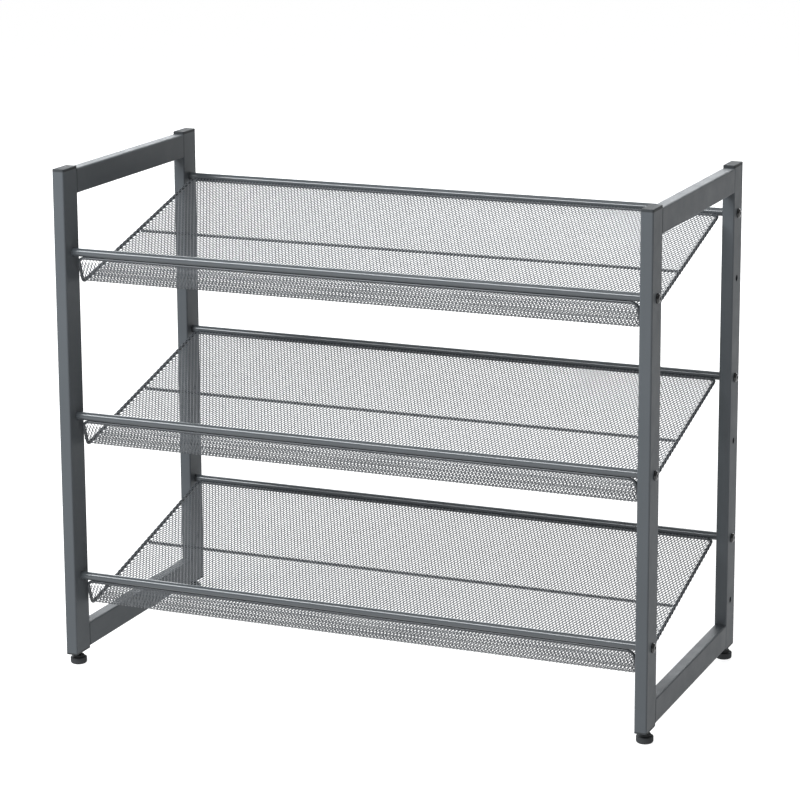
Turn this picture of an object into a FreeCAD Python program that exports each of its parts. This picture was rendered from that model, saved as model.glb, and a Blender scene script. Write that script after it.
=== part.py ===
import FreeCAD, Part
import math
import os

import Sketcher

# Stackable shoe rack: two welded side frames, three sloping mesh shelves, four levelling feet.
# Frame: +X to the right, +Y to the back, +Z up, origin on the floor under the middle of the rack.

Vector = FreeCAD.Vector
doc = FreeCAD.newDocument("shoe_rack")
dims = doc.addObject("Spreadsheet::Sheet", "dims")

DIMENSIONS = (
    ("rack_width", 740, "outside of the left posts to outside of the right posts"),
    ("rack_depth", 345, "front face of the front posts to back face of the rear posts"),
    ("post_foot", 17, "floor to the lower end of a post"),
    ("post_length", 593, "length of a post"),
    ("post_width", 15, "post and rail section across the rack"),
    ("post_depth", 34, "post section from front to back"),
    ("rail_height", 30, "rail section from top to bottom"),
    ("steel_wall", 1, "wall of the rectangular tubes"),
    ("steel_corner", 2, "outer corner radius of the rectangular tubes"),
    ("cap_flange", 3.2, "part of a top cap that shows above the post"),
    ("cap_edge", 0.9, "rounding of the rim of a cap"),
    ("plug_flange", 2, "part of a bottom plug that shows below the post"),
    ("plug_reach", 18, "depth of a cap or plug inside its post"),
    ("plug_wall", 1.8, "wall of the hollow cap"),
    ("plug_fit", 0.1, "clearance all round between a plug and its post"),
    ("pad_diameter", 20, "levelling foot pad"),
    ("pad_height", 8, "levelling foot pad, without its boss"),
    ("pad_edge", 2.6, "rounding of the pad's lower rim"),
    ("pad_rim", 0.8, "rounding of the pad's upper rim"),
    ("boss_diameter", 14, "raised boss on the pad round the stud"),
    ("boss_height", 2.5, "height of that boss"),
    ("stud_diameter", 6, "threaded stud of the foot"),
    ("stud_length", 40, "stud, from inside the pad to its upper end"),
    ("stud_seat", 3, "floor to the lower end of the stud inside the pad"),
    ("thread_fit", 0.1, "clearance on diameter round a stud or screw in its thread"),
    ("nut_width", 10, "foot nut across its flats"),
    ("nut_height", 5, "foot nut"),
    ("lowest_tube", 112, "floor to the axis of the lowest front tube"),
    ("shelf_pitch", 200, "height from one shelf to the next"),
    ("rear_rise", 42, "rear tube above the front tube of the same shelf"),
    ("spare_drop", 36.5, "spare rear hole below the level of the front tube"),
    ("tube_inset", 18, "outer face of the rack to the tube axis, front and back"),
    ("tube_diameter", 10, "round shelf tube"),
    ("tube_wall", 0.9, "wall of the round shelf tube"),
    ("collar_length", 3, "black collar between a rear tube and its post"),
    ("insert_length", 16, "threaded insert in a tube end"),
    ("screw_diameter", 6, "shelf screw shank"),
    ("screw_hole", 7.6, "hole for a shelf screw through a post"),
    ("screw_length", 28, "shank under the head"),
    ("head_diameter", 11.5, "dome head of a shelf screw"),
    ("head_height", 3.3, "dome head of a shelf screw"),
    ("head_round", 2.8, "rounding that makes the head a dome"),
    ("socket_width", 4, "hexagon socket across its flats"),
    ("socket_depth", 2, "hexagon socket"),
    ("wire_diameter", 3.6, "wire of the shelf frame"),
    ("cross_diameter", 3.4, "middle wire across the shelf"),
    ("frame_half", 348, "middle of the rack to the axis of a side wire"),
    ("front_bend", 8, "axis radius of the wire frame's front corners"),
    ("rear_bend", 7, "axis radius of the wire frame's rear corners"),
    ("lip_bend", 6, "axis radius of the wire between slope and heel stop"),
    ("lip_back", 11, "lowest bend of the heel stop behind the front tube axis"),
    ("lip_drop", 38.1, "lowest bend of the heel stop below the front tube axis"),
    ("rear_turn", 28, "degrees by which the rear wire lies below the level of the rear tube's axis"),
    ("middle_share", 0.5, "place of the middle wire up the slope, as a share of its length"),
    ("weld_gap", 0.02, "room left between pieces that are welded where they touch"),
    ("mesh_thick", 1, "thickness of the mesh panel"),
    ("gap_columns", 23, "diamond gaps along the rack"),
    ("slope_rows", 11, "staggered rows of diamond gaps up the slope"),
    ("lip_rows", 1, "rows of diamond gaps up the heel stop"),
    ("gap_share", 0.78, "gap diagonal as a share of its pitch"),
)

for row, (alias, value, meaning) in enumerate(DIMENSIONS, start=1):
    dims.set(f"A{row}", meaning)
    dims.set(f"B{row}", str(value))
    dims.setAlias(f"B{row}", alias)
doc.recompute()

SHELVES = ("lower", "middle", "upper")
SIDES = (("left", -1), ("right", 1))
ENDS = (("front", -1), ("rear", 1))
nodes = []


def size(alias):
    """Value of one cell of the sheet, in millimetres."""
    return float(dims.get(alias))


def keep(node, label):
    """Name a finished piece and put it on the list of pieces to write."""
    node.Label = label
    nodes.append(node)
    return node


def place(node, across, back, up):
    """Bind the place of a piece to expressions of the sheet."""
    for axis, text in zip("xyz", (across, back, up)):
        node.setExpression(f"Placement.Base.{axis}", text)


def signed(sign, text):
    """Expression with a sign in front."""
    return f"{sign} * ({text})"


def new_body(label):
    """Empty body that becomes one piece of the rack."""
    return keep(doc.addObject("PartDesign::Body", label), label)


def origin_part(body, role):
    """Origin plane or axis of a body."""
    return next(f for f in body.Origin.OriginFeatures if f.Role == role)


def new_sketch(body, role, lift=None):
    """Sketch on an origin plane of the body, lifted off it by an expression."""
    sketch = body.newObject("Sketcher::SketchObject", f"{body.Name}_sketch")
    sketch.AttachmentSupport = (origin_part(body, role), "")
    sketch.MapMode = "FlatFace"
    if lift:
        sketch.setExpression("AttachmentOffset.Base.z", lift)
    return sketch


def bind(sketch, constraint, name, text):
    """Add a named dimension to a sketch and bind it to an expression."""
    index = sketch.addConstraint(constraint)
    sketch.renameConstraint(index, name)
    sketch.setExpression(f"Constraints.{name}", text)


def draw_rectangle(sketch, width, depth):
    """Rectangle about the sketch's origin, with sides given as expressions."""
    corners = [Vector(x, y, 0) for x, y in ((-1, -1), (1, -1), (1, 1), (-1, 1))]
    for start, end in zip(corners, corners[1:] + corners[:1]):
        sketch.addGeometry(Part.LineSegment(start, end), False)
    for line in range(4):
        sketch.addConstraint(Sketcher.Constraint("Coincident", line, 2, (line + 1) % 4, 1))
    for line, kind in enumerate(("Horizontal", "Vertical", "Horizontal", "Vertical")):
        sketch.addConstraint(Sketcher.Constraint(kind, line))
    sketch.addConstraint(Sketcher.Constraint("Symmetric", 0, 1, 2, 1, -1, 1))
    bind(sketch, Sketcher.Constraint("DistanceX", 0, 1, 0, 2, 2.0), "width", width)
    bind(sketch, Sketcher.Constraint("DistanceY", 1, 1, 1, 2, 2.0), "depth", depth)


def draw_circle(sketch, name, diameter, across=None, up=None):
    """Circle about the sketch's origin, or about a point given as expressions."""
    index = sketch.addGeometry(Part.Circle(Vector(1, 1, 0), Vector(0, 0, 1), 1.0), False)
    bind(sketch, Sketcher.Constraint("Diameter", index, 2.0), f"{name}_diameter", diameter)
    if across is None:
        sketch.addConstraint(Sketcher.Constraint("Coincident", index, 3, -1, 1))
        return
    bind(sketch, Sketcher.Constraint("DistanceX", -1, 1, index, 3, 1.0), f"{name}_across", across)
    bind(sketch, Sketcher.Constraint("DistanceY", -1, 1, index, 3, 1.0), f"{name}_up", up)


def draw_hexagon(sketch, flats):
    """Hexagon about the sketch's origin with two flats upright, flats given as an expression."""
    turns = [math.radians(30 + 60 * corner) for corner in range(6)]
    corners = [Vector(math.cos(turn), math.sin(turn), 0) for turn in turns]
    for start, end in zip(corners, corners[1:] + corners[:1]):
        sketch.addGeometry(Part.LineSegment(start, end), False)
    guide = sketch.addGeometry(Part.Circle(Vector(0, 0, 0), Vector(0, 0, 1), 1.0), True)
    sketch.addConstraint(Sketcher.Constraint("Coincident", guide, 3, -1, 1))
    for side in range(6):
        sketch.addConstraint(Sketcher.Constraint("Coincident", side, 2, (side + 1) % 6, 1))
        sketch.addConstraint(Sketcher.Constraint("PointOnObject", side, 1, guide))
        if side:
            sketch.addConstraint(Sketcher.Constraint("Equal", 0, side))
    sketch.addConstraint(Sketcher.Constraint("Vertical", 5))
    bind(sketch, Sketcher.Constraint("Diameter", guide, 2.0), "corners", f"({flats}) / cos(30)")


def add_pad(body, sketch, length, side="One side", back=False):
    """Raise a sketch into a solid."""
    pad = body.newObject("PartDesign::Pad", f"{body.Name}_pad")
    pad.Profile = sketch
    pad.SideType = side
    pad.Reversed = back
    pad.setExpression("Length", length)
    doc.recompute()
    return pad


def add_pocket(body, sketch, depth=None, back=False):
    """Cut a sketch into the solid, right through both ways if no depth is given."""
    before = body.Shape.Volume
    pocket = body.newObject("PartDesign::Pocket", f"{body.Name}_pocket")
    pocket.Profile = sketch
    if depth is None:
        pocket.Type = "ThroughAll"
        pocket.SideType = "Symmetric"
    else:
        pocket.Reversed = back
        pocket.setExpression("Length", depth)
    doc.recompute()
    if body.Shape.Volume >= before:
        raise RuntimeError(f"{body.Label}: a pocket cut nothing")
    return pocket


def add_fillet(body, feature, radius, wanted):
    """Round the edges of a feature that pass a test."""
    names = [f"Edge{n}" for n, edge in enumerate(feature.Shape.Edges, start=1) if wanted(edge)]
    fillet = body.newObject("PartDesign::Fillet", f"{body.Name}_fillet")
    fillet.Base = (feature, names)
    fillet.setExpression("Radius", radius)
    doc.recompute()
    return fillet


def add_row(body, length, count):
    """Repeat the whole body upwards, spread over a length."""
    pattern = body.newObject("PartDesign::LinearPattern", f"{body.Name}_row")
    pattern.TransformMode = "Whole shape"
    pattern.Direction = (origin_part(body, "Z_Axis"), [""])
    pattern.setExpression("Length", length)
    pattern.Occurrences = count
    body.Tip = pattern
    doc.recompute()
    return pattern


def runs_along(axis):
    """Test for a straight edge along an axis."""
    def test(edge):
        return edge.Curve.TypeId == "Part::GeomLine" and abs(edge.Curve.Direction.dot(axis)) > 0.999
    return test


def lies_at(height, axis=Vector(0, 0, 1)):
    """Test for an edge that lies wholly at one height along an axis."""
    def test(edge):
        return all(abs(point.dot(axis) - height) < 1e-4 for point in edge.discretize(5))
    return test


def steel_tube(label, role, axis, depth, length):
    """Rectangular steel tube centred on its origin, open at both ends."""
    body = new_body(label)
    outside = new_sketch(body, role)
    draw_rectangle(outside, "dims.post_width", depth)
    pad = add_pad(body, outside, length, side="Symmetric")
    add_fillet(body, pad, "dims.steel_corner", runs_along(axis))
    inside = new_sketch(body, role)
    draw_rectangle(inside, "dims.post_width - 2 * dims.steel_wall", f"{depth} - 2 * dims.steel_wall")
    add_pocket(body, inside)
    return body


def post(side, sign, end, facing):
    """Upright with a row of screw holes, and on a rear post a spare hole under each of them."""
    label = f"{side}_{end}_post"
    body = steel_tube(label, "XY_Plane", Vector(0, 0, 1), "dims.post_depth", "dims.post_length")
    holes = new_sketch(body, "YZ_Plane")
    across = signed(-facing, "dims.tube_inset - dims.post_depth / 2")
    level = "dims.lowest_tube - dims.post_foot - dims.post_length / 2"
    heights = {"screw": level}
    if end == "rear":
        heights = {"screw": f"{level} + dims.rear_rise", "spare": f"{level} - dims.spare_drop"}
    for name, height in heights.items():
        draw_circle(holes, name, "dims.screw_hole", across, height)
    pocket = add_pocket(body, holes)
    pattern = body.newObject("PartDesign::LinearPattern", f"{label}_holes")
    pattern.Originals = [pocket]
    pattern.Direction = (origin_part(body, "Z_Axis"), [""])
    pattern.setExpression("Length", "2 * dims.shelf_pitch")
    pattern.Occurrences = len(SHELVES)
    body.Tip = pattern
    place(body, post_across(sign), post_back(facing), "dims.post_foot + dims.post_length / 2")


def post_across(sign):
    """Expression for the middle of a post or rail across the rack."""
    return signed(sign, "dims.rack_width / 2 - dims.post_width / 2")


def post_back(facing):
    """Expression for the middle of a post from front to back."""
    return signed(facing, "dims.rack_depth / 2 - dims.post_depth / 2")


def rail(side, sign, name, up):
    """Rail welded between the front and the rear post of a side frame."""
    length = "dims.rack_depth - 2 * dims.post_depth"
    body = steel_tube(f"{side}_{name}_rail", "XZ_Plane", Vector(0, 1, 0), "dims.rail_height", length)
    place(body, post_across(sign), "0", up)


def plug_section(sketch):
    """Section of a cap or plug inside its post."""
    clear = "2 * (dims.steel_wall + dims.plug_fit)"
    draw_rectangle(sketch, f"dims.post_width - {clear}", f"dims.post_depth - {clear}")


def top_cap(side, sign, end, facing):
    """Hollow plastic cap with a flange of the post's section, origin at the post's upper end."""
    body = new_body(f"{side}_{end}_top_cap")
    flange = new_sketch(body, "XY_Plane")
    draw_rectangle(flange, "dims.post_width", "dims.post_depth")
    pad = add_pad(body, flange, "dims.cap_flange")
    corners = add_fillet(body, pad, "dims.steel_corner", runs_along(Vector(0, 0, 1)))
    add_fillet(body, corners, "dims.cap_edge", lies_at(size("cap_flange")))
    plug = new_sketch(body, "XY_Plane")
    plug_section(plug)
    add_pad(body, plug, "dims.plug_reach", back=True)
    hollow = new_sketch(body, "XY_Plane", "-dims.plug_reach")
    inner = "2 * (dims.steel_wall + dims.plug_fit + dims.plug_wall)"
    draw_rectangle(hollow, f"dims.post_width - {inner}", f"dims.post_depth - {inner}")
    add_pocket(body, hollow, "dims.plug_reach", back=True)
    place(body, post_across(sign), post_back(facing), "dims.post_foot + dims.post_length")


def bottom_plug(side, sign, end, facing):
    """Plastic plug with a thin flange, a bore for the stud and a seat for the nut."""
    body = new_body(f"{side}_{end}_bottom_plug")
    flange = new_sketch(body, "XY_Plane")
    draw_rectangle(flange, "dims.post_width", "dims.post_depth")
    pad = add_pad(body, flange, "dims.plug_flange", back=True)
    add_fillet(body, pad, "dims.steel_corner", runs_along(Vector(0, 0, 1)))
    plug = new_sketch(body, "XY_Plane")
    plug_section(plug)
    add_pad(body, plug, "dims.plug_reach")
    bore = new_sketch(body, "XY_Plane")
    draw_circle(bore, "bore", "dims.stud_diameter + 4 * dims.thread_fit")
    add_pocket(body, bore)
    seat = new_sketch(body, "XY_Plane", "dims.plug_reach")
    draw_hexagon(seat, "dims.nut_width + dims.plug_fit")
    add_pocket(body, seat, "dims.nut_height")
    place(body, post_across(sign), post_back(facing), "dims.post_foot")


def foot_nut(side, sign, end, facing):
    """Hexagon nut in the seat of the bottom plug."""
    body = new_body(f"{side}_{end}_foot_nut")
    outline = new_sketch(body, "XY_Plane")
    draw_hexagon(outline, "dims.nut_width")
    add_pad(body, outline, "dims.nut_height")
    bore = new_sketch(body, "XY_Plane")
    draw_circle(bore, "bore", "dims.stud_diameter + dims.thread_fit")
    add_pocket(body, bore)
    up = "dims.post_foot + dims.plug_reach - dims.nut_height"
    place(body, post_across(sign), post_back(facing), up)


def foot_pad(side, sign, end, facing):
    """Round moulded pad with a boss, and a blind seat for the stud."""
    body = new_body(f"{side}_{end}_foot_pad")
    disc = new_sketch(body, "XY_Plane")
    draw_circle(disc, "disc", "dims.pad_diameter")
    pad = add_pad(body, disc, "dims.pad_height")
    lower = add_fillet(body, pad, "dims.pad_edge", lies_at(0))
    add_fillet(body, lower, "dims.pad_rim", lies_at(size("pad_height")))
    boss = new_sketch(body, "XY_Plane", "dims.pad_height")
    draw_circle(boss, "boss", "dims.boss_diameter")
    add_pad(body, boss, "dims.boss_height")
    seat = new_sketch(body, "XY_Plane", "dims.stud_seat")
    draw_circle(seat, "seat", "dims.stud_diameter + 2 * dims.weld_gap")
    add_pocket(body, seat, "dims.pad_height", back=True)
    place(body, post_across(sign), post_back(facing), "0")


def foot_stud(side, sign, end, facing):
    """Stud that stands in the pad and runs up through the plug and the nut."""
    label = f"{side}_{end}_foot_stud"
    stud = keep(doc.addObject("Part::Cylinder", label), label)
    stud.setExpression("Radius", "dims.stud_diameter / 2")
    stud.setExpression("Height", "dims.stud_length")
    place(stud, post_across(sign), post_back(facing), "dims.stud_seat")


def shelf_level(order):
    """Expression for the height of a shelf's front tube above the floor."""
    return f"dims.lowest_tube + {order} * dims.shelf_pitch"


def tube_place(node, order, end, facing):
    """Put a piece on the axis of a shelf's front or rear tube."""
    rise = " + dims.rear_rise" if end == "rear" else ""
    back = signed(facing, "dims.rack_depth / 2 - dims.tube_inset")
    place(node, "0", back, shelf_level(order) + rise)


def tube_end(end):
    """Expression for the distance from the middle of the rack to the end of a shelf tube."""
    collar = " - dims.collar_length" if end == "rear" else ""
    return f"dims.rack_width / 2 - dims.post_width{collar}"


def add_pair(body, feature):
    """Repeat a feature at the other end of the rack."""
    pair = body.newObject("PartDesign::Mirrored", f"{body.Name}_pair")
    pair.Originals = [feature]
    pair.MirrorPlane = (origin_part(body, "YZ_Plane"), [""])
    body.Tip = pair


def shelf_tube(shelf, order, end, facing):
    """Round tube along the front or the back of a shelf."""
    body = new_body(f"{shelf}_{end}_tube")
    ring = new_sketch(body, "YZ_Plane")
    draw_circle(ring, "outside", "dims.tube_diameter")
    draw_circle(ring, "inside", "dims.tube_diameter - 2 * dims.tube_wall")
    add_pad(body, ring, f"2 * ({tube_end(end)})", side="Symmetric")
    tube_place(body, order, end, facing)


def tube_inserts(shelf, order, end, facing):
    """Pair of threaded inserts pressed into the two ends of a shelf tube."""
    body = new_body(f"{shelf}_{end}_tube_inserts")
    ring = new_sketch(body, "YZ_Plane", tube_end(end))
    draw_circle(ring, "outside", "dims.tube_diameter - 2 * dims.tube_wall - dims.weld_gap")
    draw_circle(ring, "thread", "dims.screw_diameter + dims.thread_fit")
    add_pair(body, add_pad(body, ring, "dims.insert_length", back=True))
    tube_place(body, order, end, facing)


def rear_collars(shelf, order):
    """Pair of black collars between the ends of a rear tube and the rear posts."""
    body = new_body(f"{shelf}_rear_collars")
    ring = new_sketch(body, "YZ_Plane", tube_end("rear"))
    draw_circle(ring, "outside", "dims.tube_diameter")
    draw_circle(ring, "bore", "dims.screw_hole")
    add_pair(body, add_pad(body, ring, "dims.collar_length"))
    tube_place(body, order, "rear", 1)


def post_screws(side, sign, end, facing):
    """Three dome-head socket screws, driven from outside through a post into the tube ends."""
    body = new_body(f"{side}_{end}_screws")
    shank = new_sketch(body, "YZ_Plane")
    draw_circle(shank, "shank", "dims.screw_diameter")
    add_pad(body, shank, "dims.screw_length", back=True)
    disc = new_sketch(body, "YZ_Plane")
    draw_circle(disc, "head", "dims.head_diameter")
    head = add_pad(body, disc, "dims.head_height")
    add_fillet(body, head, "dims.head_round", lies_at(size("head_height"), Vector(1, 0, 0)))
    socket = new_sketch(body, "YZ_Plane", "dims.head_height")
    draw_hexagon(socket, "dims.socket_width")
    add_pocket(body, socket, "dims.socket_depth")
    add_row(body, "2 * dims.shelf_pitch", len(SHELVES))
    turn = 0 if sign > 0 else 180
    body.Placement = FreeCAD.Placement(Vector(0, 0, 0), FreeCAD.Rotation(Vector(0, 0, 1), turn))
    tube_place(body, 0, end, facing)
    body.setExpression("Placement.Base.x", signed(sign, "dims.rack_width / 2"))


def section_points():
    """Front wire, lowest bend and rear wire of a shelf, seen from the side.

    The origin is on the front tube's axis. The front wire hangs right under the front tube. The
    rear wire touches the rear tube from the front and a little below.
    """
    touch = (size("tube_diameter") + size("wire_diameter")) / 2 + size("weld_gap")
    front = Vector(0, 0, -touch)
    bend = Vector(0, size("lip_back"), -size("lip_drop"))
    rear_tube = Vector(0, size("rack_depth") - 2 * size("tube_inset"), size("rear_rise"))
    turn = math.radians(size("rear_turn"))
    rear = rear_tube - Vector(0, math.cos(turn), math.sin(turn)) * touch
    return front, bend, rear


def rounded_loop(corners, radii):
    """Closed wire through corners, with an arc in each, that starts in the middle of its first run."""
    count = len(corners)
    arcs = []
    for n, (corner, radius) in enumerate(zip(corners, radii)):
        into = (corner - corners[n - 1]).normalize()
        out = (corners[(n + 1) % count] - corner).normalize()
        half = into.getAngle(out) / 2
        start = corner - into * radius * math.tan(half)
        end = corner + out * radius * math.tan(half)
        inward = (out - into).normalize()
        middle = corner + inward * radius * (1 / math.cos(half) - 1)
        arcs.append((start, middle, end))
    first = (arcs[-1][2] + arcs[0][0]) / 2
    edges = []
    here = first
    for start, middle, end in arcs:
        edges.append(Part.LineSegment(here, start).toShape())
        edges.append(Part.Arc(start, middle, end).toShape())
        here = end
    edges.append(Part.LineSegment(here, first).toShape())
    return Part.Wire(edges), first


def wire_frame_shape():
    """Round wire bent into one closed loop: front wire, heel stop sides, slope sides, rear wire."""
    front, bend, rear = section_points()
    half = Vector(size("frame_half"), 0, 0)
    corners = [front + half, bend + half, rear + half, rear - half, bend - half, front - half]
    radii = [size(name) for name in ("front_bend", "lip_bend", "rear_bend")]
    path, start = rounded_loop(corners, radii + radii[::-1])
    section = Part.Circle(start, Vector(1, 0, 0), size("wire_diameter") / 2)
    shape = path.makePipeShell([Part.Wire(section.toShape())], True, False)
    expected = math.pi * (size("wire_diameter") / 2) ** 2 * path.Length
    if abs(shape.Volume / expected - 1) > 0.01:
        raise RuntimeError("wire frame: volume is not its section times its length")
    return shape


def diamond(middle, along, down):
    """Closed four-sided wire about a point, with its two half diagonals."""
    return Part.makePolygon([middle + along, middle + down, middle - along, middle - down, middle + along])


def wire_edge():
    """Distance from the axis of a frame wire to the edge of the panel beside it."""
    return size("wire_diameter") / 2 + size("weld_gap")


def rounded_strip(base, up, half, start, end, radius):
    """Outline of a flat panel, with its two far corners rounded."""
    side = Vector(1, 0, 0)
    diagonal = radius * (1 - math.sqrt(0.5))

    def at(across, length):
        return base + side * across + up * length

    edges = [Part.LineSegment(at(-half, start), at(half, start)).toShape()]
    edges.append(Part.LineSegment(at(half, start), at(half, end - radius)).toShape())
    corner = (at(half, end - radius), at(half - diagonal, end - diagonal), at(half - radius, end))
    edges.append(Part.Arc(*corner).toShape())
    edges.append(Part.LineSegment(at(half - radius, end), at(radius - half, end)).toShape())
    corner = (at(radius - half, end), at(diagonal - half, end - diagonal), at(-half, end - radius))
    edges.append(Part.Arc(*corner).toShape())
    edges.append(Part.LineSegment(at(-half, end - radius), at(-half, start)).toShape())
    return Part.Wire(edges)


def holed_panel(base, up, normal, start, end, radius, rows):
    """Flat net: one face filled with staggered rows of diamond gaps, raised to its thickness."""
    columns = int(size("gap_columns"))
    half = size("frame_half") - wire_edge()
    width = 2 * half / columns
    step = (end - start) / (rows + 1)
    along = Vector(size("gap_share") * width / 2, 0, 0)
    down = up * size("gap_share") * step
    gaps = []
    for row in range(rows):
        in_row = columns - row % 2
        for column in range(in_row):
            across = (column - (in_row - 1) / 2) * width
            middle = base + Vector(across, 0, 0) + up * (start + (row + 1) * step)
            gaps.append(diamond(middle, along, down))
    outline = rounded_strip(base, up, half, start, end, radius)
    face = Part.makeFace([outline] + gaps, "Part::FaceMakerBullseye")
    return face.extrude(normal * size("mesh_thick")), len(gaps)


def mesh_panel_shape():
    """Mesh panel set into the loop of wire: slope, round bend and heel stop in one piece."""
    front, bend, rear = section_points()
    slope = (rear - bend).normalize()
    lip = (front - bend).normalize()
    half_turn = slope.getAngle(lip) / 2
    side = Vector(1, 0, 0)
    slope_normal = side.cross(slope)
    lip_normal = lip.cross(side)
    sink = size("mesh_thick") / 2
    edge = wire_edge()
    run = size("lip_bend") / math.tan(half_turn)
    slope_net, slope_gaps = holed_panel(
        bend - slope_normal * sink, slope, slope_normal,
        run, (rear - bend).Length - edge, size("rear_bend") - edge, int(size("slope_rows")),
    )
    lip_net, lip_gaps = holed_panel(
        bend - lip_normal * sink, lip, lip_normal,
        run, (front - bend).Length - edge, size("front_bend") - edge, int(size("lip_rows")),
    )
    half = side * (size("frame_half") - edge)
    strip = bend + slope * run - slope_normal * sink - half
    width = half * 2
    thick = slope_normal * size("mesh_thick")
    corners = [strip, strip + width, strip + width + thick, strip + thick]
    end_face = Part.Face(Part.makePolygon(corners + corners[:1]))
    axis = bend + (slope + lip) * (size("lip_bend") / math.sin(2 * half_turn))
    turn = math.degrees(math.pi - 2 * half_turn)
    curl = end_face.revolve(axis, side, -turn)
    shape = slope_net.fuse([curl, lip_net]).removeSplitter()
    print("mesh panel: gaps in the slope", slope_gaps, "and in the heel stop", lip_gaps)
    return shape


def shelf_feature(label, order, shape):
    """Piece of a shelf whose shape is worked out from the sheet, placed on the front tube's axis."""
    node = keep(doc.addObject("Part::Feature", label), label)
    node.Shape = shape
    tube_place(node, order, "front", -1)
    return node


def middle_wire(shelf, order):
    """Straight wire under the panel, across the slope from side wire to side wire."""
    _, bend, rear = section_points()
    slope = rear - bend
    below = slope.cross(Vector(1, 0, 0)).normalize()
    label = f"{shelf}_middle_wire"
    wire = keep(doc.addObject("Part::Cylinder", label), label)
    reach = "dims.frame_half - dims.wire_diameter / 2 - dims.weld_gap"
    wire.setExpression("Radius", "dims.cross_diameter / 2")
    wire.setExpression("Height", f"2 * ({reach})")
    depth = (size("mesh_thick") + size("cross_diameter")) / 2 + size("weld_gap")
    middle = bend + slope * size("middle_share") + below * depth
    turned = FreeCAD.Rotation(Vector(0, 1, 0), 90)
    wire.Placement = FreeCAD.Placement(Vector(0, 0, 0), turned)
    back = f"{middle.y} - dims.rack_depth / 2 + dims.tube_inset"
    place(wire, f"-({reach})", back, f"{shelf_level(order)} + {middle.z}")


for side_name, side_sign in SIDES:
    for end_name, end_facing in ENDS:
        corner = (side_name, side_sign, end_name, end_facing)
        post(*corner)
        top_cap(*corner)
        bottom_plug(*corner)
        foot_nut(*corner)
        foot_pad(*corner)
        foot_stud(*corner)
        post_screws(*corner)
    low = "dims.post_foot + dims.rail_height / 2"
    high = "dims.post_foot + dims.post_length - dims.rail_height / 2"
    rail(side_name, side_sign, "bottom", low)
    rail(side_name, side_sign, "top", high)

frame_shape = wire_frame_shape()
panel_shape = mesh_panel_shape()
for shelf_order, shelf_name in enumerate(SHELVES):
    for end_name, end_facing in ENDS:
        shelf_tube(shelf_name, shelf_order, end_name, end_facing)
        tube_inserts(shelf_name, shelf_order, end_name, end_facing)
    rear_collars(shelf_name, shelf_order)
    shelf_feature(f"{shelf_name}_wire_frame", shelf_order, frame_shape)
    middle_wire(shelf_name, shelf_order)
    shelf_feature(f"{shelf_name}_mesh_panel", shelf_order, panel_shape)

doc.recompute()
for item in doc.Objects:
    if "Invalid" in item.State or "Error" in item.State:
        raise RuntimeError(f"{item.Label} failed: {item.State}")
for node in nodes:
    if node.Shape.isNull() or not node.Shape.isValid():
        raise RuntimeError(f"{node.Label} has no valid shape")

os.makedirs("parts", exist_ok=True)
for node in nodes:
    node.Shape.exportStep(f"parts/{node.Label}.step")
print("pieces written:", len(nodes))
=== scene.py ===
import math
from typing import NamedTuple

import bpy
import numpy as np
from bpy.props import FloatProperty, FloatVectorProperty, IntProperty, PointerProperty
from mathutils import Matrix, Vector


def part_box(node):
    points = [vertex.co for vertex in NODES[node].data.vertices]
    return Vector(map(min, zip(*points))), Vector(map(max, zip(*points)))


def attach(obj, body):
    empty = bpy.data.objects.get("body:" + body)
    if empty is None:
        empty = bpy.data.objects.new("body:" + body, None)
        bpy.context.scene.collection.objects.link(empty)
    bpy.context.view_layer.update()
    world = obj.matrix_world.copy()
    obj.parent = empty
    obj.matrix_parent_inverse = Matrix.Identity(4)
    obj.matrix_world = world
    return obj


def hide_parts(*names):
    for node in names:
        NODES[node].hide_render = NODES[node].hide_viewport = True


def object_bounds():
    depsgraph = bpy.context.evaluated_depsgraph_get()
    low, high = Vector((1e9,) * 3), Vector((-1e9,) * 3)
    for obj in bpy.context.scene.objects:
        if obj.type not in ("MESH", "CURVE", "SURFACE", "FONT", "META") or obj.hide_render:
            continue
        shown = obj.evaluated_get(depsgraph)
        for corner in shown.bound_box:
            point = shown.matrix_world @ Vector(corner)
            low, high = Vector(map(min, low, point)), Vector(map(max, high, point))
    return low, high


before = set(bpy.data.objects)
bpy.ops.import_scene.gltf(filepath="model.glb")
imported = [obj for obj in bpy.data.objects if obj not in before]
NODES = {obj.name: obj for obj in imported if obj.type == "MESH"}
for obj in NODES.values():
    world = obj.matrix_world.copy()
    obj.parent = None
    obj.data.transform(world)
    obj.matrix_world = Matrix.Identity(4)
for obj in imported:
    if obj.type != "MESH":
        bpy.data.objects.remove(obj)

bl_info = {
    "name": "Shoe Rack",
    "version": (1, 0, 0),
    "blender": (4, 5, 0),
    "location": "View3D > Sidebar > Shoe Rack",
    "description": "Dresses the frame of a stackable shoe rack: paint, fine mesh, fittings and studio",
    "category": "Object",
}

CAD_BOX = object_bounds()
SHELVES = ("lower", "middle", "upper")
RACK = "rack"
WHITE = (1.0, 1.0, 1.0, 1.0)
NOISE_LOW, NOISE_HIGH = 0.3, 0.7
GRAIN_STRENGTH = 0.5
SENSOR_WIDTH = 36.0  # millimetres
FAR_CLIP = 100.0  # metres


class Finish(NamedTuple):
    """Look of a finish, apart from its colour.

    rough holds the limits of the roughness, and shine is the specular level. The colour is clouded by
    the share tint. The fine grain has the scale grain, and is bump metres high.
    """

    rough: tuple
    shine: float = 0.5
    tint: float = 0.04
    grain: float = 700.0
    bump: float = 0.00002
    metallic: float = 0.0


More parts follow.
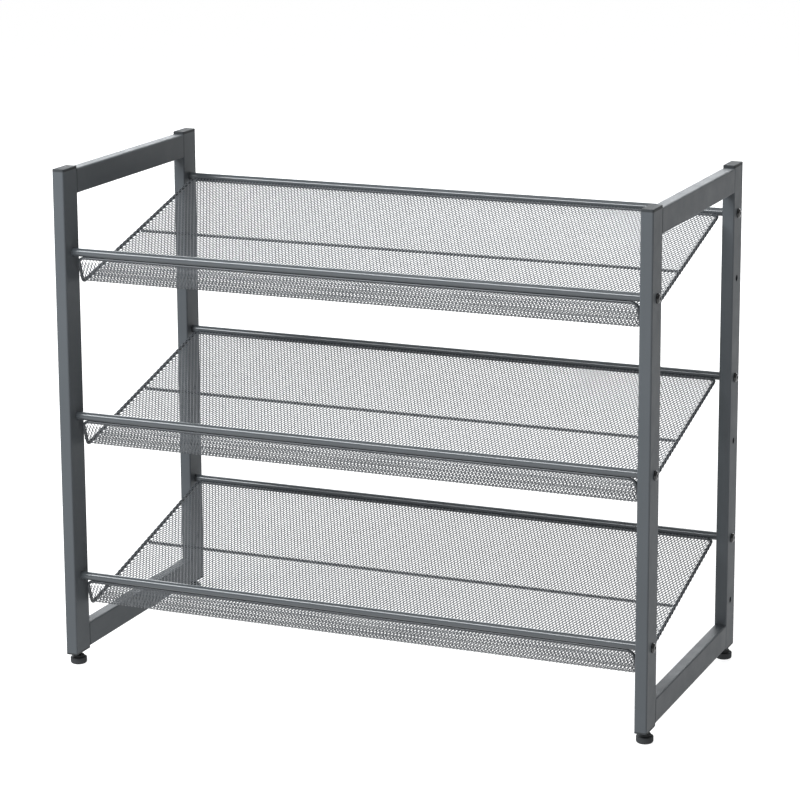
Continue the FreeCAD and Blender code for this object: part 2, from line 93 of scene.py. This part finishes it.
FINISHES = {
    "satin_paint": Finish(rough=(0.44, 0.52), shine=0.12),
    "glossy_paint": Finish(rough=(0.18, 0.22), shine=0.4),
    "wire_paint": Finish(rough=(0.22, 0.28), shine=0.4),
    "mesh_paint": Finish(rough=(0.36, 0.46), shine=0.4),
    "cap_plastic": Finish(rough=(0.58, 0.70), shine=0.12, tint=0.10, grain=1800.0, bump=0.00005),
    "foot_plastic": Finish(rough=(0.60, 0.72), shine=0.08, tint=0.15, grain=1500.0, bump=0.00004),
    "black_screw": Finish(rough=(0.12, 0.20), tint=0.20, grain=1200.0, bump=0.00001),
    "zinc_plate": Finish(rough=(0.25, 0.40), tint=0.08, grain=1600.0, bump=0.00003, metallic=1.0),
    "pale_floor": Finish(rough=(0.75, 0.85), tint=0.004, grain=30.0, bump=0.0),
}


class SoftBox(NamedTuple):
    """Rectangular lamp: its place, the point that it faces, its size and the setting for its power."""

    place: tuple
    aim: tuple
    size: tuple
    power: str


SOFT_BOXES = {
    "top_box": SoftBox(place=(0.0, -0.1, 2.4), aim=(0.0, 0.0, 0.3), size=(1.8, 0.9), power="top_light"),
    "back_box": SoftBox(place=(-1.4, 4.2, 1.9), aim=(0.0, 0.0, 0.4), size=(6.0, 2.4), power="back_light"),
    "key_box": SoftBox(place=(-0.98, -1.83, 1.87), aim=(0.0, 0.0, 0.3), size=(2.2, 0.7), power="key_light"),
}


class ShoeRackMesh(bpy.types.PropertyGroup):
    """Sizes of the expanded mesh and of the wires that it is wrapped round."""

    pitch_across: FloatProperty(
        name="Pitch across", description="Diamond pitch along the shelf", default=0.00438, unit="LENGTH")
    pitch_deep: FloatProperty(
        name="Pitch deep", description="Diamond pitch up the slope", default=0.0092, unit="LENGTH")
    strand: FloatProperty(
        name="Strand", description="Width of a strand", default=0.00096, unit="LENGTH")
    knot: FloatProperty(
        name="Knot", description="Length of a knot as a share of that of an evenly drawn one", default=0.6,
        subtype="FACTOR")
    thickness: FloatProperty(
        name="Thickness", description="Thickness of the mesh", default=0.0005, unit="LENGTH")
    twist: FloatProperty(
        name="Twist", description="Rise of a strand from one side to the other", default=0.00025,
        unit="LENGTH")
    wire: FloatProperty(
        name="Wire", description="Diameter of the frame wire", default=0.0036, unit="LENGTH")
    lip_back: FloatProperty(
        name="Lip back", description="Lowest bend behind the front tube", default=0.011, unit="LENGTH")
    lip_drop: FloatProperty(
        name="Lip drop", description="Lowest bend below the front tube", default=0.0381, unit="LENGTH")
    lip_bend: FloatProperty(
        name="Lip bend", description="Wire radius at the lowest bend", default=0.006, unit="LENGTH")
    front_bend: FloatProperty(
        name="Front bend", description="Wire radius of the front corners", default=0.008, unit="LENGTH")
    rear_bend: FloatProperty(
        name="Rear bend", description="Wire radius of the rear corners", default=0.007, unit="LENGTH")
    rear_turn: FloatProperty(
        name="Rear turn", description="Rear wire below the level of the rear tube's axis",
        default=math.radians(28), subtype="ANGLE")
    wrap_turn: FloatProperty(
        name="Wrap", description="Turn of the mesh edge round the rear wire", default=math.radians(40),
        subtype="ANGLE")
    wrap_columns: IntProperty(
        name="Side wrap", description="Columns of diamonds wrapped round a side wire", default=1)
    climb_run: FloatProperty(
        name="Climb", description="Width over which the mesh climbs on to a wire", default=0.0055,
        unit="LENGTH")


class ShoeRackPaint(bpy.types.PropertyGroup):
    """Colours of the rack's finishes. The tubes' and wires' colours are darkened as painted shade, and the
    mesh's is lightened as painted light.
    """

    steel: FloatVectorProperty(
        name="Paint", description="Slate paint of posts and rails", subtype="COLOR",
        default=(0.067, 0.074, 0.080))
    # Painted shade: the tubes have the frame's slate paint. This darker copy of it darkens the tubes'
    # bodies.
    tube: FloatVectorProperty(
        name="Tubes", description="Slate paint of the round tubes", subtype="COLOR",
        default=(0.055, 0.061, 0.066))
    # Painted shade: the wires have the frame's slate paint. This darker colour stands for the shade that the
    # tubes and the wrapped mesh cast on them.
    wire: FloatVectorProperty(
        name="Wires", description="Darker slate paint of the wires", subtype="COLOR",
        default=(0.034, 0.038, 0.042))
    # Painted light: the mesh has the frame's slate paint. This lighter copy of it brightens the strands as
    # if lit from above and behind.
    mesh: FloatVectorProperty(
        name="Mesh", description="Slate paint of the mesh", subtype="COLOR",
        default=(0.080, 0.087, 0.094))
    cap: FloatVectorProperty(
        name="Caps", description="Plastic of caps, plugs and collars", subtype="COLOR",
        default=(0.034, 0.037, 0.039))
    foot: FloatVectorProperty(
        name="Feet", description="Plastic of the foot pads", subtype="COLOR",
        default=(0.036, 0.038, 0.040))
    screw: FloatVectorProperty(
        name="Screws", description="Blackened steel of screws and studs", subtype="COLOR",
        default=(0.010, 0.011, 0.012))
    zinc: FloatVectorProperty(
        name="Zinc", description="Plated nuts and inserts", subtype="COLOR",
        default=(0.52, 0.53, 0.54))


class ShoeRackStage(bpy.types.PropertyGroup):
    """Camera, floor and lamps."""

    camera_place: FloatVectorProperty(
        name="Camera", description="Place of the camera", subtype="TRANSLATION",
        default=(1.30699, -3.10536, 1.17193))
    camera_aim: FloatVectorProperty(
        name="Aim", description="Point on the camera's axis", subtype="TRANSLATION",
        default=(0.00045, 0.0, 0.45057))
    camera_roll: FloatProperty(
        name="Roll", description="Turn of the camera about its axis", default=math.radians(-0.286),
        subtype="ANGLE")
    lens: FloatProperty(
        name="Lens", description="Focal length on a 36 mm sensor", default=130.14, unit="CAMERA")
    shift: FloatProperty(
        name="Shift", description="Upright lens shift, as a share of the frame", default=-0.125)
    floor: FloatVectorProperty(
        name="Floor", description="Colour of the floor", subtype="COLOR", default=(0.32, 0.32, 0.32))
    reach: FloatProperty(
        name="Reach", description="Floor from its middle to a side", default=60.0, unit="LENGTH")
    glow: FloatProperty(
        name="Glow", description="White light that the floor gives off itself", default=0.88)
    sky: FloatProperty(
        name="Surround", description="Strength of the even surround", default=0.30)
    lamp: FloatVectorProperty(
        name="Lamp colour", description="Cool white of the soft boxes", subtype="COLOR",
        default=(0.95, 0.975, 1.0))
    top_light: FloatProperty(
        name="Top light", description="Power of the overhead soft box", default=10.0, subtype="POWER")
    back_light: FloatProperty(
        name="Back light", description="Power of the wide soft box behind", default=240.0, subtype="POWER")
    key_light: FloatProperty(
        name="Key light", description="Power of the front left soft box", default=108.0, subtype="POWER")


def unit(vector):
    """Vector of length one in the same direction."""
    return vector / np.linalg.norm(vector)


def tube_axis(node):
    """Place from front to back and height of a tube along X, and its radius."""
    low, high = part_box(node)
    return np.array([low.y + high.y, low.z + high.z]) / 2, (high.z - low.z) / 2


def link(name, mesh, material, body):
    """Put a finished mesh into the scene, give it its finish and let it ride on a body."""
    mesh.materials.append(material)
    piece = bpy.data.objects.new(name, mesh)
    bpy.context.scene.collection.objects.link(piece)
    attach(piece, body)
    return piece


def quad_mesh(name, points, quads):
    """Mesh from arrays of points and flat-shaded four-sided faces."""
    mesh = bpy.data.meshes.new(name)
    mesh.vertices.add(len(points))
    mesh.vertices.foreach_set("co", np.ascontiguousarray(points, np.float32).ravel())
    mesh.loops.add(quads.size)
    mesh.loops.foreach_set("vertex_index", np.ascontiguousarray(quads, np.int32).ravel())
    mesh.polygons.add(len(quads))
    mesh.polygons.foreach_set("loop_start", np.arange(0, quads.size, 4, dtype=np.int32))
    mesh.polygons.foreach_set("use_smooth", np.full(len(quads), False))
    mesh.update(calc_edges=True)
    mesh.validate()
    return mesh


class ShelfSheet:
    """Side view of one shelf's mesh, as a curve with its length as the parameter.

    From the front: a straight run down the heel stop, an arc round the lowest bend and a straight run
    up the slope, all through the middle lines of the wires. There the curve stays on the rear wire's
    middle line while its normal turns over that wire.
    """

    def __init__(self, shelf, sizes):
        front_tube, _ = tube_axis(f"{shelf}_front_tube")
        rear_tube, tube_radius = tube_axis(f"{shelf}_rear_tube")
        touch = tube_radius + sizes.wire / 2
        self.front = front_tube - np.array([0.0, touch])
        bend = front_tube + np.array([sizes.lip_back, -sizes.lip_drop])
        self.rear = rear_tube - np.array([math.cos(sizes.rear_turn), math.sin(sizes.rear_turn)]) * touch
        self.slope = unit(self.rear - bend)
        self.lip = unit(self.front - bend)
        self.slope_normal = np.array([-self.slope[1], self.slope[0]])
        self.lip_normal = np.array([self.lip[1], -self.lip[0]])
        self.edge = (sizes.wire + sizes.thickness) / 2 + sizes.twist
        # The arc starts its radius / tan(angle / 2) from the corner of the two runs.
        angle = math.acos(float(self.slope @ self.lip))
        tangent = sizes.lip_bend / math.tan(angle / 2)
        self.arc = sizes.lip_bend
        self.arc_middle = bend + (self.slope + self.lip) * self.arc / math.sin(angle)
        self.arc_start = math.atan2(-self.lip_normal[1], -self.lip_normal[0])
        self.slope_start = bend + self.slope * tangent
        lip_length = np.linalg.norm(self.front - bend) - tangent
        arc_length = self.arc * (math.pi - angle)
        slope_length = np.linalg.norm(self.rear - bend) - tangent
        self.ends = np.cumsum([lip_length, arc_length, slope_length, self.edge * sizes.wrap_turn])

    def place(self, length):
        """Points and normals of the curve at an array of lengths."""
        lip_end, arc_end, slope_end, _ = self.ends
        turn = self.arc_start + (length - lip_end) / self.arc
        towards = np.stack([np.cos(turn), np.sin(turn)], -1)
        wrap_start = math.atan2(self.slope_normal[1], self.slope_normal[0])
        turn = wrap_start - (length - slope_end) / self.edge
        outward = np.stack([np.cos(turn), np.sin(turn)], -1)
        runs = [(length < end)[:, None] for end in (lip_end, arc_end, slope_end)]
        steps = length[:, None]
        points = np.select(runs, [
            self.front - self.lip * steps,
            self.arc_middle + self.arc * towards,
            self.slope_start + self.slope * (steps - arc_end),
        ], np.broadcast_to(self.rear, towards.shape))
        normals = np.select(runs, [
            np.broadcast_to(self.lip_normal, towards.shape),
            -towards,
            np.broadcast_to(self.slope_normal, towards.shape),
        ], outward)
        return points, normals


def climb(sheet, wide, deep, half, sizes):
    """Height of the mesh above the middle plane of the wires.

    h = edge (3 t^2 - 2 t^3) with t = 1 - d / run, held between 0 and 1. Here d is the distance to the
    nearest side or rear wire, round the rear corners too, and edge the height on top of a wire.
    """
    beside = np.clip(sizes.rear_bend - half + wide, 0, None)
    behind = np.clip(sizes.rear_bend - sheet.ends[2] + deep, 0, None)
    near = sizes.rear_bend - np.hypot(beside, behind)
    t = np.clip(1 - near / sizes.climb_run, 0, 1)
    return sheet.edge * (3 * t ** 2 - 2 * t ** 3)


def wrapped_points(sheet, across, deep, lift, half, sizes):
    """Points of the mesh in space, at a height lift from its middle.

    Up to the side wire's middle line a point is carried straight out of the side view. Past it,
    the rest of the distance becomes an angle round that wire, so the edge is rolled over it.
    """
    points, normals = sheet.place(deep)
    wide = np.abs(across)
    rise = climb(sheet, wide, deep, half, sizes) + lift
    past = np.clip(wide - half, 0.0, None) / sheet.edge
    side = np.where(past > 0, half + rise * np.sin(past), wide) * np.sign(across)
    section = points + normals * (rise * np.cos(past))[:, None]
    return np.column_stack([side, section])


def diamond_net(columns, rows, pitch_across, pitch_deep, strand, knot, wanted):
    """Flat net of diamonds in staggered rows, as corner points and four-sided faces.

    Each row has a knot half a pitch to each side of every diamond. A diamond's ring of four faces
    runs from its four knots (left, near, right, far) to its opening. That is the same diamond drawn
    in by half a strand, then made longer by the share knot and narrower at an equal area. Returns
    the points' places across and deep, their tilt (one at an opening's near corner, minus one at
    its far corner) and the faces of the wanted diamonds.
    """
    knot_row, knot_column = np.mgrid[-1:rows + 1, 0:columns + 1]
    knot_across = (knot_column + 0.5 * (knot_row % 2) - columns / 2) * pitch_across
    knot_deep = knot_row * pitch_deep / 2
    row, column = np.mgrid[0:rows, 0:columns]
    middle_across = (column + 0.5 * (row % 2) + 0.5 - columns / 2) * pitch_across
    middle_deep = row * pitch_deep / 2
    edge = math.hypot(pitch_across, pitch_deep)
    share = 1 - strand * edge / (pitch_across * pitch_deep)
    share_deep = 1 - knot * (1 - share)
    corner_across = np.array([-1, 0, 1, 0]) * share ** 2 / share_deep * pitch_across / 2
    corner_deep = np.array([0, -1, 0, 1]) * share_deep * pitch_deep / 2
    hole_across = middle_across[..., None] + corner_across
    hole_deep = middle_deep[..., None] + corner_deep
    hole_tilt = np.broadcast_to([0.0, 1.0, 0.0, -1.0], hole_across.shape)
    knots = knot_row.size
    first = (row + 1) * (columns + 1) + column
    tip = column + row % 2
    outer = np.stack([first, row * (columns + 1) + tip, first + 1, (row + 2) * (columns + 1) + tip], -1)
    inner = knots + 4 * (row * columns + column)[..., None] + np.arange(4)
    rings = np.stack([outer, np.roll(outer, -1, -1), np.roll(inner, -1, -1), inner], -1)
    keep = wanted(middle_across, middle_deep + pitch_deep / 2, row, column)
    quads = rings[keep].reshape(-1, 4)
    used, quads = np.unique(quads, return_inverse=True)
    across = np.concatenate([knot_across.ravel(), hole_across.ravel()])[used]
    deep = np.concatenate([knot_deep.ravel(), hole_deep.ravel()])[used] + pitch_deep / 2
    tilt = np.concatenate([np.zeros(knots), hole_tilt.ravel()])[used]
    return across, deep, tilt, quads.reshape(-1, 4)


def thick_faces(count, quads):
    """Faces of a closed sheet: its upper side, its lower side turned over, and a wall on each free edge."""
    start = quads.ravel()
    end = np.roll(quads, -1, axis=1).ravel()
    free = ~np.isin(start * count + end, end * count + start)
    a, b = start[free], end[free]
    walls = np.stack([b, a, a + count, b + count], -1)
    return np.concatenate([quads, quads[:, ::-1] + count, walls])


def noise(tree, coords, scale, detail, rough):
    """Noise texture on the object's own coordinates."""
    node = tree.nodes.new("ShaderNodeTexNoise")
    node.inputs["Scale"].default_value = scale
    node.inputs["Detail"].default_value = detail
    node.inputs["Roughness"].default_value = rough
    tree.links.new(coords, node.inputs["Vector"])
    return node.outputs["Fac"]


def spread(tree, value, low, high):
    """Map a texture's usual range to a range of values."""
    node = tree.nodes.new("ShaderNodeMapRange")
    node.inputs["From Min"].default_value = NOISE_LOW
    node.inputs["From Max"].default_value = NOISE_HIGH
    node.inputs["To Min"].default_value = low
    node.inputs["To Max"].default_value = high
    tree.links.new(value, node.inputs["Value"])
    return node.outputs["Result"]


def finish_material(name, colour):
    """One of the finishes in a colour, with clouds in that colour, uneven gloss and a fine grain.

    The colour runs from 1 - tint to 1 + tint times the one given, and the roughness between its two
    limits, each with a noise of its own. A third noise is the height of the grain.
    """
    finish = FINISHES[name]
    material = bpy.data.materials.new(name)
    material.use_nodes = True
    tree = material.node_tree
    shader = tree.nodes["Principled BSDF"]
    coords = tree.nodes.new("ShaderNodeTexCoord").outputs["Object"]
    clouds = noise(tree, coords, scale=9.0, detail=4.0, rough=0.55)
    mix = tree.nodes.new("ShaderNodeMix")
    mix.data_type = "RGBA"
    mix.inputs["A"].default_value = (*[c * (1 - finish.tint) for c in colour], 1)
    mix.inputs["B"].default_value = (*[min(1.0, c * (1 + finish.tint)) for c in colour], 1)
    tree.links.new(spread(tree, clouds, 0.0, 1.0), mix.inputs["Factor"])
    tree.links.new(mix.outputs["Result"], shader.inputs["Base Color"])
    smears = noise(tree, coords, scale=45.0, detail=3.0, rough=0.6)
    tree.links.new(spread(tree, smears, *finish.rough), shader.inputs["Roughness"])
    height = tree.nodes.new("ShaderNodeBump")
    height.inputs["Strength"].default_value = GRAIN_STRENGTH
    height.inputs["Distance"].default_value = finish.bump
    grain = noise(tree, coords, scale=finish.grain, detail=2.0, rough=0.5)
    tree.links.new(grain, height.inputs["Height"])
    tree.links.new(height.outputs["Normal"], shader.inputs["Normal"])
    shader.inputs["Metallic"].default_value = finish.metallic
    shader.inputs["Specular IOR Level"].default_value = finish.shine
    return material


def paint_nodes(material, *endings):
    """Give a finish to every piece of the frame whose name has one of the endings."""
    painted = [node for name, node in NODES.items() if name.endswith(endings)]
    if not painted:
        raise RuntimeError(f"no piece of the frame ends in {endings}")
    for node in painted:
        for place in node.material_slots:
            place.material = material


class SHOERACK_OT_steel(bpy.types.Operator):
    """Paint the posts, rails, round tubes and wires"""

    bl_idname = "shoe_rack.steel"
    bl_label = "Painted steel"

    def execute(self, context):
        paint = context.scene.shoe_rack_paint
        paint_nodes(finish_material("satin_paint", paint.steel), "_post", "_rail")
        # Tubes: colour darkened as painted shade.
        paint_nodes(finish_material("glossy_paint", paint.tube), "_tube")
        # Wires: colour darkened as painted shade.
        paint_nodes(finish_material("wire_paint", paint.wire), "_wire", "_wire_frame")
        return {"FINISHED"}


class SHOERACK_OT_fittings(bpy.types.Operator):
    """Finish caps, plugs, collars, feet, screws, studs, nuts and inserts"""

    bl_idname = "shoe_rack.fittings"
    bl_label = "Fittings"

    def execute(self, context):
        paint = context.scene.shoe_rack_paint
        paint_nodes(finish_material("cap_plastic", paint.cap), "_top_cap", "_bottom_plug", "_rear_collars")
        paint_nodes(finish_material("foot_plastic", paint.foot), "_foot_pad")
        paint_nodes(finish_material("black_screw", paint.screw), "_screws", "_foot_stud")
        paint_nodes(finish_material("zinc_plate", paint.zinc), "_foot_nut", "_tube_inserts")
        return {"FINISHED"}


class SHOERACK_OT_mesh(bpy.types.Operator):
    """Lay the fine diamond mesh on each shelf and roll its edges round the wires"""

    bl_idname = "shoe_rack.mesh"
    bl_label = "Fine mesh"

    def execute(self, context):
        sizes = context.scene.shoe_rack_mesh
        # Mesh: colour lightened as painted light.
        material = finish_material("mesh_paint", context.scene.shoe_rack_paint.mesh)
        for shelf in SHELVES:
            sheet = ShelfSheet(shelf, sizes)
            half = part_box(f"{shelf}_wire_frame")[1].x - sizes.wire / 2
            inner = round(2 * half / sizes.pitch_across)
            pitch = 2 * half / inner
            columns = inner + 2 * sizes.wrap_columns
            rows = int((sheet.ends[3] - sizes.wire / 2) / (sizes.pitch_deep / 2)) - 1
            for name, sign in (("left", -1), ("right", 1)):
                wanted = self.cells(sheet, sizes, half, columns, sign)
                across, deep, tilt, quads = diamond_net(
                    columns, rows, pitch, sizes.pitch_deep, sizes.strand, sizes.knot, wanted)
                lift = np.concatenate([tilt * sizes.twist + side * sizes.thickness / 2 for side in (1, -1)])
                deep = np.tile(deep, 2) + sizes.wire / 2
                points = wrapped_points(sheet, np.tile(across, 2), deep, lift, half, sizes)
                mesh = quad_mesh(f"{shelf}_mesh_{name}", points, thick_faces(len(across), quads))
                piece = link(f"{shelf}_mesh_{name}", mesh, material, RACK)
                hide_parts(f"{shelf}_mesh_panel")
        return {"FINISHED"}

    @staticmethod
    def cells(sheet, sizes, half, columns, sign):
        """Test for the diamonds of one half of a shelf that lie inside the rounded outline.

        On the panel, a diamond's middle lies within the rounded front and rear corners. The rows that
        roll over the rear wire and the columns that roll over a side wire end at those corners.
        """
        slope_end = sheet.ends[2]

        def wanted(across, deep, row, column):
            mine = np.where(sign < 0, column < columns // 2, column >= columns // 2)
            whole = (row % 2 == 0) | (column < columns - 1)
            wide = np.abs(across)
            on_panel = wide < half
            front = np.hypot(
                np.clip(wide - half + sizes.front_bend, 0, None), np.clip(sizes.front_bend - deep, 0, None))
            rear = np.hypot(
                np.clip(wide - half + sizes.rear_bend, 0, None),
                np.clip(deep - slope_end + sizes.rear_bend, 0, None))
            panel = on_panel & (front <= sizes.front_bend) & (rear <= sizes.rear_bend)
            back_roll = (wide < half - sizes.rear_bend) & (deep > slope_end - sizes.rear_bend)
            side_roll = ~on_panel & (deep > sizes.front_bend) & (deep < slope_end - sizes.rear_bend)
            return mine & whole & (panel | back_roll | side_roll)

        return wanted


class SHOERACK_OT_stage(bpy.types.Operator):
    """Set the floor, the soft light and the camera"""

    bl_idname = "shoe_rack.stage"
    bl_label = "Studio"

    def execute(self, context):
        stage = context.scene.shoe_rack_stage
        self.floor(context.scene, stage)
        self.surround(context.scene, stage)
        for name, box in SOFT_BOXES.items():
            self.soft_box(context.scene, name, box, getattr(stage, box.power), stage.lamp)
        self.camera(context.scene, stage)
        context.scene.view_settings.view_transform = "Standard"
        context.scene.view_settings.look = "None"
        return {"FINISHED"}

    @staticmethod
    def floor(scene, stage):
        """Square floor under the rack, which gives off white light of its own."""
        material = finish_material("pale_floor", stage.floor)
        shader = material.node_tree.nodes["Principled BSDF"]
        shader.inputs["Emission Color"].default_value = WHITE
        shader.inputs["Emission Strength"].default_value = stage.glow
        across = np.array([-1, 1, 1, -1]) * stage.reach
        back = np.array([-1, -1, 1, 1]) * stage.reach
        points = np.column_stack([across, back, np.full(4, CAD_BOX[0].z)])
        mesh = quad_mesh("studio_floor", points, np.array([[0, 1, 2, 3]]))
        mesh.materials.append(material)
        surface = bpy.data.objects.new("studio_floor", mesh)
        scene.collection.objects.link(surface)

    @staticmethod
    def surround(scene, stage):
        """Even white light from all round."""
        world = bpy.data.worlds.new("white_studio")
        world.use_nodes = True
        background = world.node_tree.nodes["Background"]
        background.inputs["Color"].default_value = WHITE
        background.inputs["Strength"].default_value = stage.sky
        scene.world = world

    @staticmethod
    def soft_box(scene, name, box, power, colour):
        """Rectangular lamp that faces a point."""
        lamp = bpy.data.lights.new(name, "AREA")
        lamp.shape = "RECTANGLE"
        lamp.size, lamp.size_y = box.size
        lamp.energy = power
        lamp.color = colour
        holder = bpy.data.objects.new(name, lamp)
        holder.location = box.place
        facing = Vector(box.aim) - Vector(box.place)
        holder.rotation_euler = facing.to_track_quat("-Z", "Y").to_euler()
        scene.collection.objects.link(holder)

    @staticmethod
    def camera(scene, stage):
        """Long lens from the front right, a little above, turned slightly about its axis."""
        lens = bpy.data.cameras.new("photo_camera")
        lens.sensor_width = SENSOR_WIDTH
        lens.lens = stage.lens
        lens.shift_y = stage.shift
        lens.clip_end = FAR_CLIP
        camera = bpy.data.objects.new("photo_camera", lens)
        place = Vector(stage.camera_place)
        turn = (Vector(stage.camera_aim) - place).to_track_quat("-Z", "Y").to_matrix()
        roll = Matrix.Rotation(stage.camera_roll, 3, "Z")
        camera.matrix_world = Matrix.Translation(place) @ (turn @ roll).to_4x4()
        scene.collection.objects.link(camera)
        scene.camera = camera


OPERATORS = (SHOERACK_OT_steel, SHOERACK_OT_fittings, SHOERACK_OT_mesh, SHOERACK_OT_stage)
SETTINGS = (
    ("shoe_rack_mesh", ShoeRackMesh), ("shoe_rack_paint", ShoeRackPaint), ("shoe_rack_stage", ShoeRackStage))


class SHOERACK_PT_panel(bpy.types.Panel):
    """Steps that dress the shoe rack"""

    bl_label = "Shoe Rack"
    bl_idname = "SHOERACK_PT_panel"
    bl_space_type = "VIEW_3D"
    bl_region_type = "UI"
    bl_category = "Shoe Rack"

    def draw(self, context):
        for operator in OPERATORS:
            self.layout.operator(operator.bl_idname)


def register():
    for name, settings in SETTINGS:
        bpy.utils.register_class(settings)
        setattr(bpy.types.Scene, name, PointerProperty(type=settings))
    for cls in (*OPERATORS, SHOERACK_PT_panel):
        bpy.utils.register_class(cls)


def unregister():
    for cls in reversed((*OPERATORS, SHOERACK_PT_panel)):
        bpy.utils.unregister_class(cls)
    for name, settings in reversed(SETTINGS):
        delattr(bpy.types.Scene, name)
        bpy.utils.unregister_class(settings)


def main():
    """Dress the frame step by step."""
    register()
    bpy.ops.shoe_rack.steel()
    bpy.ops.shoe_rack.fittings()
    bpy.ops.shoe_rack.mesh()
    bpy.ops.shoe_rack.stage()


if __name__ == "__main__":
    main()
